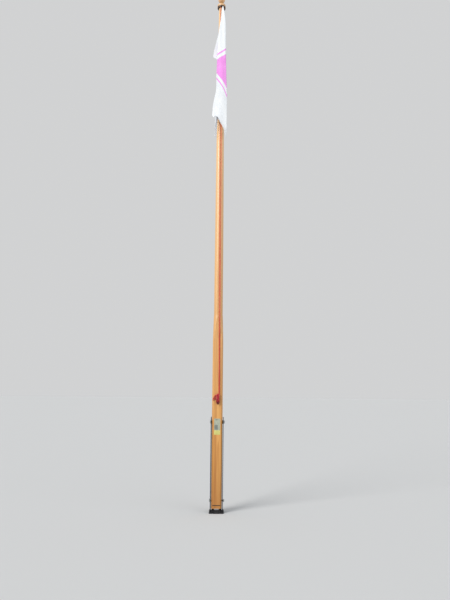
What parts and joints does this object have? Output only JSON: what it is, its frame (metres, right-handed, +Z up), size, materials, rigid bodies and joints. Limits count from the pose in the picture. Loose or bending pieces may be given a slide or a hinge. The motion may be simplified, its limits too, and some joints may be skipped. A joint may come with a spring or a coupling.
{
  "type": "flagpole",
  "caption": "Varnished timber flagpole, square at the butt and round above, hinged in a steel tabernacle, with a red halyard on a cleat and a limp white flag at its truck.",
  "frame": {"origin": "underside of the base plate, on the ground, under the middle of the pole", "axes": "+Z up along the pole; +X from the left cheek to the right cheek; -Y is the front, with the cleat, halyard and flag"},
  "size_m": [0.1968, 0.2338, 6.647],
  "materials": {
    "black_steel": "weathered black paint, satin",
    "zinc_steel": "dull galvanised steel",
    "varnished_softwood": "orange softwood under glossy varnish",
    "turned_softwood": "pale varnished softwood",
    "notice_sheet": "pale plain printed sheet, no lettering",
    "cast_cleat": "galvanised casting",
    "red_rope": "braided polyester rope",
    "flag_cloth": "thin woven cloth",
    "sheave_brass": "tarnished brass"
  },
  "bodies": {
    "tabernacle": {"base_plate": "black_steel", "left_cheek": "black_steel", "right_cheek": "black_steel", "left_shim_ring": "zinc_steel", "right_shim_ring": "zinc_steel", "pivot_bolt": "zinc_steel", "pivot_nut": "zinc_steel", "left_pivot_washer": "zinc_steel", "right_pivot_washer": "zinc_steel"},
    "pole": {"timber_pole": "varnished_softwood", "lock_bolt": "zinc_steel", "lock_nut": "zinc_steel", "left_lock_washer": "zinc_steel", "right_lock_washer": "zinc_steel", "notice_plate": "notice_sheet", "cleat": "cast_cleat", "halyard_belay": "red_rope", "halyard_bight": "red_rope", "halyard_uphaul": "red_rope", "halyard_downhaul": "red_rope", "halyard_head_turn": "red_rope", "upper_eye": "red_rope", "lower_eye": "red_rope", "flag": "flag_cloth", "truck": "turned_softwood", "sheave": "sheave_brass", "sheave_pin": "sheave_brass", "finial_stem": "sheave_brass", "ball_finial": "turned_softwood"}
  },
  "joints": [
    {"name": "pole_pivot", "type": "hinge", "parent": "tabernacle", "child": "pole", "pos_m": [0, 0, 1.03], "axis": [1, 0, 0], "range_deg": [0, 90]}
  ]
}
